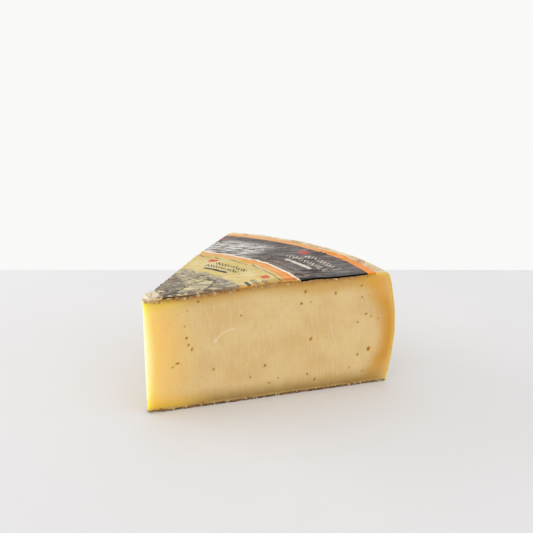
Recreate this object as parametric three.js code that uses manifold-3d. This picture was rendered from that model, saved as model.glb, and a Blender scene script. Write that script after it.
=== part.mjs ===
// A wedge cut from a round wheel of semi-hard cheese, standing on the wheel's lower rind, with the paper
// label of the wheel's upper face still glued on and cut through with it.
//
// Millimetres, +Z up. The origin is on the resting face, in the middle of the wedge's box. The wedge's
// point looks to -X and its rind to +X, and the XZ plane halves the wedge between its two cut faces.

import * as THREE from "three";
import { mergeVertices } from "three/addons/utils/BufferGeometryUtils.js";
import Module from "manifold-3d";

// The wheel.
const WHEEL_RADIUS = 156; // where the side meets the upper face
const WHEEL_HEIGHT = 74.7;
const RIM_BULGE = 6; // how far the side stands out at half height
const UPPER_EDGE_ROUND = 3; // worn edge between the upper face and the side
const LOWER_EDGE_ROUND = 2.5;
const LOWER_EDGE_SPREAD = 1.5; // the foot of the side has settled outwards a little
const FOOT_TUCK = 0.25; // the foot curve bends towards a point this share of LOWER_EDGE_ROUND inside
const WHEEL_STEPS = 144; // facets round a whole wheel
const SIDE_STEPS = 12; // facets up the side
const EDGE_STEPS = 4; // facets across a rounded edge

// The two knife cuts.
const WEDGE_ANGLE = THREE.MathUtils.degToRad(55);
const TIP_ROUND = 1.2; // the point between the cuts is blunt
const TIP_STEPS = 6;
const KNIFE_REACH = 40; // how far the cutting prism passes the rind, the top and the base

// The label.
const LABEL_RADIUS = 147;
const LABEL_THICKNESS = 0.3;

// Colours and gloss.
const PASTE = { color: 0xdcb878, roughness: 0.5, metalness: 0 };
const PRINTED_PAPER = { color: 0x4a464c, roughness: 0.55, metalness: 0 };

// Points closer together than this are one point of a closed surface.
const SAME_POINT = 1e-4;

// The wheel's axis lies so that the wedge's box is centred on the origin.
const HALF_ANGLE = WEDGE_ANGLE / 2;
const TIP_CENTRE = TIP_ROUND / Math.sin(HALF_ANGLE); // from the wheel's axis to the tip round's centre
const TIP_START = TIP_CENTRE - TIP_ROUND;
const WHEEL_AXIS_X = -(TIP_START + WHEEL_RADIUS + RIM_BULGE) / 2;

const wasm = await Module();
wasm.setup();

/** The solid that a closed surface bounds, for cutting. */
function solidFrom(geometry) {
  const bare = geometry.clone();
  bare.deleteAttribute("normal");
  bare.deleteAttribute("uv");
  const merged = mergeVertices(bare, SAME_POINT);
  return new wasm.Manifold(
    new wasm.Mesh({
      numProp: 3,
      vertProperties: merged.attributes.position.array,
      triVerts: new Uint32Array(merged.index.array),
    }),
  );
}

/** The surface of a cut solid, flat shaded so that cut faces stay crisp. */
function geometryFrom(solid) {
  const mesh = solid.getMesh();
  const indexed = new THREE.BufferGeometry();
  indexed.setAttribute("position", new THREE.BufferAttribute(mesh.vertProperties, mesh.numProp));
  indexed.setIndex(new THREE.BufferAttribute(mesh.triVerts, 1));
  const flat = indexed.toNonIndexed();
  flat.computeVertexNormals();
  return flat;
}

/** How far the side stands out from WHEEL_RADIUS at a height: a parabola, and a little more at the foot. */
function bulgeAt(height) {
  const fromMiddle = height / (WHEEL_HEIGHT / 2) - 1;
  const parabola = RIM_BULGE * (1 - fromMiddle ** 2);
  const foot = LOWER_EDGE_SPREAD * Math.max(0, -fromMiddle) ** 3;
  return parabola + foot;
}

/** Half of the wheel's section, from the axis along the base, up the side and back along the top. */
function wheelProfile() {
  const sideBottom = LOWER_EDGE_ROUND;
  const sideTop = WHEEL_HEIGHT - UPPER_EDGE_ROUND;
  const footRadius = WHEEL_RADIUS + bulgeAt(sideBottom);
  const topRadius = WHEEL_RADIUS - UPPER_EDGE_ROUND;
  const outline = new THREE.Path();
  outline.moveTo(0, 0);
  outline.lineTo(footRadius - LOWER_EDGE_ROUND, 0);
  outline.quadraticCurveTo(footRadius - FOOT_TUCK * LOWER_EDGE_ROUND, 0, footRadius, sideBottom);
  for (let step = 1; step <= SIDE_STEPS; step++) {
    const height = sideBottom + ((sideTop - sideBottom) * step) / SIDE_STEPS;
    outline.lineTo(WHEEL_RADIUS + bulgeAt(height), height);
  }
  outline.quadraticCurveTo(WHEEL_RADIUS, WHEEL_HEIGHT, topRadius, WHEEL_HEIGHT);
  outline.lineTo(0, WHEEL_HEIGHT);
  return outline.getPoints(EDGE_STEPS);
}

/** The uncut wheel, turned so that its axis is Z. */
function wheelGeometry() {
  const wheel = new THREE.LatheGeometry(wheelProfile(), WHEEL_STEPS);
  return wheel.rotateX(Math.PI / 2);
}

/**
 * The plan of a wedge with its point at the wheel's axis: two straight cuts, a round between them at the
 * point, and either a rind arc of the given radius or, for the knife, a straight far side.
 */
function wedgePlan(radius, arcSteps) {
  const touch = TIP_ROUND / Math.tan(HALF_ANGLE); // where the tip's round runs into the cuts
  const plan = new THREE.Shape();
  plan.moveTo(touch * Math.cos(HALF_ANGLE), -touch * Math.sin(HALF_ANGLE));
  for (let step = 0; step <= arcSteps; step++) {
    const angle = -HALF_ANGLE + (WEDGE_ANGLE * step) / arcSteps;
    plan.lineTo(radius * Math.cos(angle), radius * Math.sin(angle));
  }
  plan.lineTo(touch * Math.cos(HALF_ANGLE), touch * Math.sin(HALF_ANGLE));
  const turn = Math.PI - WEDGE_ANGLE; // what the tip's round turns through
  for (let step = 1; step < TIP_STEPS; step++) {
    const angle = Math.PI - turn / 2 + (turn * step) / TIP_STEPS;
    plan.lineTo(TIP_CENTRE + TIP_ROUND * Math.cos(angle), TIP_ROUND * Math.sin(angle));
  }
  plan.closePath();
  return plan;
}

/** An upright prism on a plan. */
function prism(plan, bottom, height) {
  const geometry = new THREE.ExtrudeGeometry(plan, { depth: height, bevelEnabled: false, steps: 1 });
  return geometry.translate(0, 0, bottom);
}

/** The wheel between the two knife cuts: paste and rind, which are one piece of cheese. */
function cheeseGeometry() {
  const knifeRadius = (WHEEL_RADIUS + RIM_BULGE + KNIFE_REACH) / Math.cos(HALF_ANGLE);
  const knife = prism(wedgePlan(knifeRadius, 1), -KNIFE_REACH, WHEEL_HEIGHT + 2 * KNIFE_REACH);
  return geometryFrom(solidFrom(wheelGeometry()).intersect(solidFrom(knife)));
}

/** The label's share of the wedge: a flat sheet on the upper face that stops short of the rind's edge. */
function labelGeometry() {
  const arcSteps = Math.round((WHEEL_STEPS * WEDGE_ANGLE) / (2 * Math.PI));
  return prism(wedgePlan(LABEL_RADIUS, arcSteps), WHEEL_HEIGHT, LABEL_THICKNESS);
}

/** A named piece of the wheel, moved with the wheel's axis. */
function piece(name, geometry, finish) {
  const mesh = new THREE.Mesh(geometry, new THREE.MeshStandardMaterial(finish));
  mesh.name = name;
  mesh.position.x = WHEEL_AXIS_X;
  return mesh;
}

const wedge = new THREE.Group();
wedge.add(piece("cheese", cheeseGeometry(), PASTE));
wedge.add(piece("top_label", labelGeometry(), PRINTED_PAPER));

export default wedge;
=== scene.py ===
"""A wedge of semi-hard cheese, with its rind and the cut share of the wheel's round label, in metres.

The wheel's axis is upright. Every surface is worked out from the wheel's own sizes and from the boxes of
the framed nodes, so the finished skin sits where the plain solids are.
"""

import logging
import math
from collections.abc import Sequence
from dataclasses import dataclass, field
from enum import Enum, IntEnum

import bpy
import numpy as np
from mathutils import Matrix, Vector


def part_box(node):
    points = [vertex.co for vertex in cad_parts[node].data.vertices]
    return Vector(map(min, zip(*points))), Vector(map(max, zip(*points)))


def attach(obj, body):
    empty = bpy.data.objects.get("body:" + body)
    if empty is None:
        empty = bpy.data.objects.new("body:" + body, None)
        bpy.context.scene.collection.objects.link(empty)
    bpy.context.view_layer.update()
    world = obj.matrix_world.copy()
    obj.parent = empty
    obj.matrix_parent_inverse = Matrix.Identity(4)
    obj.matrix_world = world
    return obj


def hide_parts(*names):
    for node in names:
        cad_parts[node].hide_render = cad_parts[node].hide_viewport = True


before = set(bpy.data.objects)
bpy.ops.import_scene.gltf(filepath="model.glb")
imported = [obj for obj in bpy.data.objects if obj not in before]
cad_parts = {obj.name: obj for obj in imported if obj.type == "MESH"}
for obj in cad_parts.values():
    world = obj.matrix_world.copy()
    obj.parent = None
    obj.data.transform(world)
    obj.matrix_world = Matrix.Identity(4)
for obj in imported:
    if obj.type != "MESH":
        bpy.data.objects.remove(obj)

LOG = logging.getLogger("cheese_wedge")
MM = 0.001
ROOT = "root"
Colour = tuple[float, float, float, float]
Socket = bpy.types.NodeSocket
Zone = tuple[float, float]


def paint(red: int, green: int, blue: int) -> Colour:
    """A colour on the usual 0 to 255 scale, as the linear values that a shader takes.

    Args:
        red: Red share.
        green: Green share.
        blue: Blue share.

    Returns:
        The linear colour with full opacity.
    """
    shares = np.array([red, green, blue]) / 255
    linear = np.where(shares <= 0.04045, shares / 12.92, ((shares + 0.055) / 1.055) ** 2.4)
    return (*(float(x) for x in linear), 1.0)


def ease(value: np.ndarray, start: float, end: float) -> np.ndarray:
    """The smooth step 3t^2 - 2t^3 of a value between start, where it is 0, and end, where it is 1.

    Args:
        value: What is eased.
        start: The value that gives 0.
        end: The value that gives 1.

    Returns:
        An array from 0 to 1, shaped as value is.
    """
    t = np.clip((value - start) / (end - start), 0, 1)
    return t * t * (3 - 2 * t)


def lattice_noise(points: np.ndarray, cell: float, seed: int) -> np.ndarray:
    """Smooth noise: a scrambled value at each corner of a cubic lattice, blended across each cell by a
    smooth step in each direction.

    Args:
        points: Places, as an array whose last axis holds x, y and z.
        cell: Lattice spacing, in the unit of the points.
        seed: Picks one field out of many.

    Returns:
        Values from -1 to 1, one for each place.
    """
    scaled = points / cell
    corner_of_cell = np.floor(scaled).astype(np.int64)
    part = scaled - corner_of_cell
    blend = part * part * (3 - 2 * part)
    total = np.zeros(points.shape[:-1])
    for corner in range(8):
        step = np.array([corner & 1, corner >> 1 & 1, corner >> 2 & 1])
        key = corner_of_cell + step
        mixed = key[..., 0] * 73856093 ^ key[..., 1] * 19349663 ^ key[..., 2] * 83492791 ^ seed * 83475661
        mixed = (mixed ^ (mixed >> 13)) * 1274126177 & 0x7FFFFFFF
        value = ((mixed ^ (mixed >> 15)) & 0xFFFF) / 0x7FFF - 1
        total += value * np.prod(np.where(step == 1, blend, 1 - blend), axis=-1)
    return total


def rough(points: np.ndarray, cell: float, seed: int, octaves: int = 3) -> np.ndarray:
    """Noise in layers: each layer has half the cell and half the height of the one before.

    Args:
        points: Places, as an array whose last axis holds x, y and z.
        cell: Lattice spacing of the widest layer.
        seed: Picks one field out of many.
        octaves: How many layers there are.

    Returns:
        Values from about -2 to 2, one for each place.
    """
    return sum(lattice_noise(points, cell / 2**k, seed + k) / 2**k for k in range(octaves))


@dataclass(frozen=True)
class Lumps:
    """Lumps of a surface: how high they stand, how wide the widest are, and which noise they follow."""

    height: float
    cell: float
    seed: int
    octaves: int = 1

    def noise(self, points: np.ndarray) -> np.ndarray:
        """The bare noise at some points."""
        return rough(points, self.cell, self.seed, self.octaves)

    def heights(self, points: np.ndarray) -> np.ndarray:
        """How far the surface stands out at some points: the height times the noise."""
        return self.height * self.noise(points)

    def ridges(self, points: np.ndarray, power: int) -> np.ndarray:
        """Sharp ridges where the noise crosses zero: the height times (1 - |noise|)^power."""
        return self.height * (1 - np.abs(self.noise(points))) ** power

    def patches(self, points: np.ndarray, start: float, end: float) -> np.ndarray:
        """Smooth patches: the height times the smooth step of the noise between start and end."""
        return self.height * ease(self.noise(points), start, end)


@dataclass(frozen=True)
class Lip:
    """A ragged lip beside an edge: how high it stands, how far it is set back, and half of its width."""

    height: float
    set_back: float
    width: float

    def rise(self, distance: np.ndarray) -> np.ndarray:
        """How far it stands out: height * exp(-((distance from the edge - set back) / width)^2)."""
        return self.height * np.exp(-(((distance - self.set_back) / self.width) ** 2))


def graded(length: float, fine: float, coarse: float, growth: float = 1.35) -> np.ndarray:
    """Shares from 0 to 1 along a length whose steps are fine at both ends and grow to coarse between.

    Args:
        length: The length that is divided.
        fine: First and last step.
        coarse: Step in the middle stretch.
        growth: How much each end step is longer than the one before.

    Returns:
        A rising array that starts with 0 and ends with 1.
    """
    ramp = fine * growth ** np.arange(math.ceil(math.log(coarse / fine, growth)))
    middle = max(1, round((length - 2 * ramp.sum()) / coarse))
    steps = np.concatenate([ramp, np.full(middle, coarse), ramp[::-1]])
    return np.concatenate([[0], np.cumsum(steps) / steps.sum()])


def grid_quads(rows: int, columns: int, wrap: bool) -> np.ndarray:
    """Corner numbers of the quads of a grid of points stored row by row.

    Args:
        rows: Rows of points.
        columns: Points in a row.
        wrap: Whether the last column joins the first.

    Returns:
        An array of four point numbers for each quad, anticlockwise where rows go up and columns go right.
    """
    row = np.arange(rows - 1)[:, None]
    column = np.arange(columns if wrap else columns - 1)[None, :]
    right = (column + 1) % columns
    here, above = row * columns, (row + 1) * columns
    corners = [here + column, here + right, above + right, above + column]
    return np.stack(np.broadcast_arrays(*corners), axis=-1).reshape(-1, 4)


def new_piece(name: str, points: np.ndarray, faces: list[list[int]]) -> bpy.types.Object:
    """A smooth mesh object at the origin, with its place in its mesh.

    Args:
        name: The piece's name.
        points: One row of x, y and z for each point.
        faces: Point numbers of each face.

    Returns:
        The object, linked to the scene.
    """
    mesh = bpy.data.meshes.new(name)
    mesh.from_pydata(points.tolist(), [], faces)
    mesh.update()
    mesh.shade_smooth()
    piece = bpy.data.objects.new(name, mesh)
    bpy.context.scene.collection.objects.link(piece)
    return piece


def write_vector(piece: bpy.types.Object, name: str, values: np.ndarray) -> None:
    """Stores three numbers at each point of a piece, for its material to read.

    Args:
        piece: The piece.
        name: The attribute's name.
        values: One row of three numbers for each point.
    """
    attribute = piece.data.attributes.new(name, "FLOAT_VECTOR", "POINT")
    attribute.data.foreach_set("vector", values.astype(np.float32).ravel())


class Graph:
    """A material's node tree, with one short method for each kind of node that the finishes use."""

    def __init__(self, name: str) -> None:
        """Makes an empty material.

        Args:
            name: The material's name.
        """
        self.material = bpy.data.materials.new(name)
        self.material.use_nodes = True
        self.tree = self.material.node_tree
        self.tree.nodes.clear()

    def node(self, kind: str, **settings: object) -> bpy.types.Node:
        """Adds a node.

        Args:
            kind: Blender's type name, without its ShaderNode start.
            settings: Properties of the node.

        Returns:
            The node.
        """
        node = self.tree.nodes.new("ShaderNode" + kind)
        for key, value in settings.items():
            setattr(node, key, value)
        return node

    def put(self, socket: Socket, value: object) -> None:
        """Links a socket to another one, or sets it to a constant.

        Args:
            socket: The input that is set.
            value: The other socket, or the constant.
        """
        if isinstance(value, Socket):
            self.tree.links.new(value, socket)
        else:
            socket.default_value = value

    def maths(self, operation: str, *values: object, clamp: bool = False) -> Socket:
        """One step of arithmetic on one to three values.

        Args:
            operation: Blender's name of the step, such as ADD.
            values: Sockets or numbers.
            clamp: Whether the result is kept from 0 to 1.

        Returns:
            The result's socket.
        """
        node = self.node("Math", operation=operation, use_clamp=clamp)
        for socket, value in zip(node.inputs, values):
            self.put(socket, value)
        return node.outputs[0]

    def times(self, first: object, second: object) -> Socket:
        """The product of two values."""
        return self.maths("MULTIPLY", first, second)

    def plus(self, first: object, second: object) -> Socket:
        """The sum of two values."""
        return self.maths("ADD", first, second)

    def minus(self, first: object, second: object) -> Socket:
        """The first value less the second."""
        return self.maths("SUBTRACT", first, second)

    def times_plus(self, first: object, second: object, third: object) -> Socket:
        """The product of two values, with a third added."""
        return self.maths("MULTIPLY_ADD", first, second, third)

    def span(self, value: object, start: float, end: float, low: float = 0, high: float = 1) -> Socket:
        """A smooth step of a value.

        Args:
            value: What is eased.
            start: The value that gives low. It may lie above end.
            end: The value that gives high.
            low: Result at start and before it.
            high: Result at end and after it.

        Returns:
            The result's socket.
        """
        if start > end:
            start, end, low, high = end, start, high, low
        node = self.node("MapRange", interpolation_type="SMOOTHSTEP")
        keys = ("Value", "From Min", "From Max", "To Min", "To Max")
        for key, number in zip(keys, (value, start, end, low, high)):
            self.put(node.inputs[key], number)
        return node.outputs["Result"]

    def mix(self, share: object, first: object, second: object, blend: str = "MIX") -> Socket:
        """A blend of two colours.

        Args:
            share: How much of the second colour there is.
            first: Colour or socket.
            second: Colour or socket.
            blend: Blender's name of the blend.

        Returns:
            The blended colour's socket.
        """
        node = self.node("MixRGB", blend_type=blend)
        self.put(node.inputs["Fac"], share)
        self.put(node.inputs["Color1"], first)
        self.put(node.inputs["Color2"], second)
        return node.outputs[0]

    def split(self, vector: Socket) -> list[Socket]:
        """The three numbers of a vector.

        Args:
            vector: The vector's socket.

        Returns:
            The three numbers' sockets.
        """
        node = self.node("SeparateXYZ")
        self.put(node.inputs[0], vector)
        return list(node.outputs)

    def attribute(self, name: str) -> list[Socket]:
        """The three numbers that write_vector stored under a name, as sockets."""
        return self.split(self.node("Attribute", attribute_name=name).outputs["Vector"])

    def place(self, turn: float = 0, stretch: Sequence[float] = (1, 1, 1)) -> Socket:
        """The piece's own coordinates, turned about the upright and then stretched.

        Args:
            turn: Angle in degrees.
            stretch: Factor along each turned axis.

        Returns:
            The coordinate's socket.
        """
        own = self.node("TexCoord").outputs["Object"]
        turned = self.node("VectorRotate", rotation_type="Z_AXIS")
        self.put(turned.inputs["Vector"], own)
        self.put(turned.inputs["Angle"], math.radians(turn))
        node = self.node("VectorMath", operation="MULTIPLY")
        self.put(node.inputs[0], turned.outputs[0])
        self.put(node.inputs[1], tuple(stretch))
        return node.outputs[0]

    def noise(self, place: Socket, cell: float, detail: float = 2, harsh: float = 0.5) -> Socket:
        """Noise around 0.5 at a place.

        Args:
            place: The coordinate.
            cell: Width of its widest lumps, in millimetres.
            detail: Layers of finer lumps.
            harsh: How strong each finer layer is.

        Returns:
            The value's socket.
        """
        node = self.node("TexNoise")
        self.put(node.inputs["Vector"], place)
        self.put(node.inputs["Scale"], 1 / (cell * MM))
        self.put(node.inputs["Detail"], detail)
        self.put(node.inputs["Roughness"], harsh)
        return node.outputs[0]

    def cells(self, place: Socket, cell: float) -> Socket:
        """The distance to the nearest of many scattered dots, in cells.

        Args:
            place: The coordinate.
            cell: Usual gap between dots, in millimetres.

        Returns:
            The distance's socket.
        """
        node = self.node("TexVoronoi")
        self.put(node.inputs["Vector"], place)
        self.put(node.inputs["Scale"], 1 / (cell * MM))
        return node.outputs["Distance"]

    def bump(self, height: Socket, depth: float, strength: float = 1) -> Socket:
        """A normal tipped by a height.

        Args:
            height: Height from 0 to 1.
            depth: What a height of 1 measures, in millimetres.
            strength: Share of the tilt that is kept.

        Returns:
            The normal's socket.
        """
        node = self.node("Bump")
        self.put(node.inputs["Height"], height)
        self.put(node.inputs["Distance"], depth * MM)
        self.put(node.inputs["Strength"], strength)
        return node.outputs[0]

    def surface(self, **sockets: object) -> bpy.types.Material:
        """Ends the tree in a principled shader.

        Args:
            sockets: Values or sockets, each under its input's name with _ for a space.

        Returns:
            The finished material.
        """
        shader = self.node("BsdfPrincipled")
        for key, value in sockets.items():
            self.put(shader.inputs[key.replace("_", " ")], value)
        output = self.node("OutputMaterial")
        self.put(output.inputs["Surface"], shader.outputs[0])
        return self.material


@dataclass(frozen=True)
class Wheel:
    """The wheel that the wedge was cut from, with the two cuts through its axis."""

    axis_x: float
    height: float
    widest: float
    label_radius: float
    half_angle: float = math.radians(27.5)
    bulge: float = 6 * MM
    upper_round: float = 3 * MM
    lower_round: float = 2.5 * MM
    foot_spread: float = 1.5 * MM
    tip_round: float = 1.2 * MM
    droop: float = 3.4 * MM
    droop_reach: float = 95 * MM
    heel_lift: float = 1.0 * MM
    heel_reach: float = 16 * MM

    @classmethod
    def from_frame(cls) -> "Wheel":
        """Places the wheel so that the wedge fills the framed cheese's box.

        Returns:
            The wheel, whose axis lies where the two cuts would meet.
        """
        low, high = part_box("cheese")
        _, label_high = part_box("top_label")
        tip_start = cls.tip_round / math.sin(cls.half_angle) - cls.tip_round
        axis_x = low.x - tip_start
        return cls(axis_x, high.z, high.x - axis_x, label_high.x - axis_x)

    @property
    def tip_centre(self) -> float:
        """How far the centre of the point's round lies from the axis."""
        return self.tip_round / math.sin(self.half_angle)

    @property
    def touch(self) -> float:
        """How far along a cut, from the axis, the point's round begins."""
        return self.tip_round / math.tan(self.half_angle)

    def side_radius(self, height: np.ndarray) -> np.ndarray:
        """The side's radius at a height: a parabola that is widest at half height, a foot that spreads, and
        a quarter circle taken off at each edge.

        Args:
            height: Heights above the base.

        Returns:
            The radius at each height.
        """
        from_middle = height / (self.height / 2) - 1
        radius = self.widest - self.bulge * from_middle**2
        radius = radius + self.foot_spread * np.clip(-from_middle, 0, 1) ** 3
        over = np.clip((height - self.height + self.upper_round) / self.upper_round, 0, 1)
        under = np.clip((self.lower_round - height) / self.lower_round, 0, 1)
        radius = radius - self.upper_round * (1 - np.sqrt(1 - over**2))
        return radius - self.lower_round * (1 - np.sqrt(1 - under**2))

    def top(self, reach: np.ndarray) -> np.ndarray:
        """Height of the upper face, which sinks a little towards the point, at a distance from the axis."""
        return self.height - self.droop * (1 - ease(reach, 0, self.droop_reach))

    def base(self, reach: np.ndarray) -> np.ndarray:
        """Height of the lower face, which lifts a hair at the point, at a distance from the axis."""
        return self.heel_lift * (1 - ease(reach, 0, self.heel_reach))

    def spread(self, reach: np.ndarray) -> np.ndarray:
        """Half of the wedge's angle at a distance from the axis: the cuts' angle, and nearer the point the
        angle where a circle about the axis meets the point's round, by the law of cosines.

        Args:
            reach: Distances from the axis.

        Returns:
            The half angle at each distance.
        """
        near = np.maximum(reach, self.tip_centre - self.tip_round)
        cosine = (near**2 + self.tip_centre**2 - self.tip_round**2) / (2 * near * self.tip_centre)
        rounded = np.arccos(np.clip(cosine, -1, 1))
        return np.where(reach < self.touch, rounded, self.half_angle)

    def out_of_cut(self, side: np.ndarray | int) -> np.ndarray:
        """The direction straight out of a cut.

        Args:
            side: -1 for the front cut and 1 for the back cut, once or for many places.

        Returns:
            x, y and z on the last axis.
        """
        parts = (-math.sin(self.half_angle), side * math.cos(self.half_angle), 0.0)
        return np.stack(np.broadcast_arrays(*parts), axis=-1)

    def reach_of(self, points: np.ndarray) -> np.ndarray:
        """How far points lie from the axis."""
        return np.hypot(points[..., 0] - self.axis_x, points[..., 1])

    def at(self, reach: np.ndarray, angle: np.ndarray, height: np.ndarray) -> np.ndarray:
        """Points at a distance and an angle about the axis, and a height.

        Args:
            reach: Distances from the axis.
            angle: Angles from the line that halves the wedge.
            height: Heights above the base.

        Returns:
            An array of x, y and z.
        """
        x = self.axis_x + reach * np.cos(angle)
        y = reach * np.sin(angle)
        return np.stack(np.broadcast_arrays(x, y, height), axis=-1)


@dataclass(frozen=True)
class Eye:
    """A small gas hole that a cut has opened, at a place along and up the cut in millimetres. It is longer in
    one direction, which tilts by so many degrees. Its size sets its width and its depth."""

    along: float
    up: float
    size: float = 0.9
    longer: float = 1.0
    tilt: float = 0.0


@dataclass(frozen=True)
class Seam:
    """A hair crack or curd line on a cut face, as points along and up the face in millimetres, with its width
    and how plainly it shows."""

    points: tuple[tuple[float, float], ...]
    width: float
    pale: float


class Stretch(IntEnum):
    """The stretches of a lap round the wedge."""

    FRONT = 0
    RIND = 1
    BACK = 2
    POINT = 3


FRONT_EYES = (
    Eye(33.5, 67.5, 1.0), Eye(27, 62.5, 0.6), Eye(59.5, 56, 0.8), Eye(25, 53, 0.6), Eye(26, 45.5, 1.0),
    Eye(27, 41, 0.9), Eye(29, 38, 0.8, 1.8, 80), Eye(20, 30, 0.9, 1.9, 0), Eye(17, 28, 0.6, 1.5, 10),
    Eye(42, 23.5, 0.9), Eye(74.5, 21.5, 1.1), Eye(65, 15, 0.8), Eye(77, 9.5, 0.8), Eye(83, 12, 0.6),
    Eye(100.5, 67, 1.0, 1.5, 60), Eye(98, 59.5, 1.1), Eye(104, 60, 0.6), Eye(120.5, 64, 1.0, 1.3, 40),
    Eye(138, 67, 0.8), Eye(138.5, 59.5, 0.8), Eye(141.5, 48, 1.0), Eye(145, 46, 0.7), Eye(150, 44, 0.7),
    Eye(136, 43, 0.9), Eye(104.5, 35.5, 1.1, 1.3, 40), Eye(144, 24, 1.4, 1.4, 75), Eye(136.5, 21, 1.0),
    Eye(102.5, 12, 0.9), Eye(107.5, 7.5, 0.9, 1.5, 80), Eye(140, 9, 0.8), Eye(131, 12.5, 0.6),
)
FRONT_SEAMS = (
    Seam(((43.5, 41.5), (45, 43.5), (47, 45.5), (51.5, 47.5), (56, 48.5)), 0.5, 1.3),
    Seam(((43.2, 41.0), (43.8, 42.4)), 0.75, 2.0),
    Seam(((56, 48.5), (70, 45), (96, 40), (122, 36)), 0.6, 0.2),
    Seam(((37, 65), (40, 55), (43.5, 44)), 0.45, 0.3),
    Seam(((43.5, 41.5), (45, 34), (47, 23)), 0.5, 0.2),
    Seam(((114, 61), (118.5, 40), (121.5, 29), (123.5, 9)), 0.6, 0.25),
    Seam(((110.5, 61), (115, 40)), 0.7, 0.15),
    Seam(((118.5, 32), (120, 9)), 0.6, 0.15),
    Seam(((108.5, 31), (109, 10)), 0.7, 0.15),
)


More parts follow.
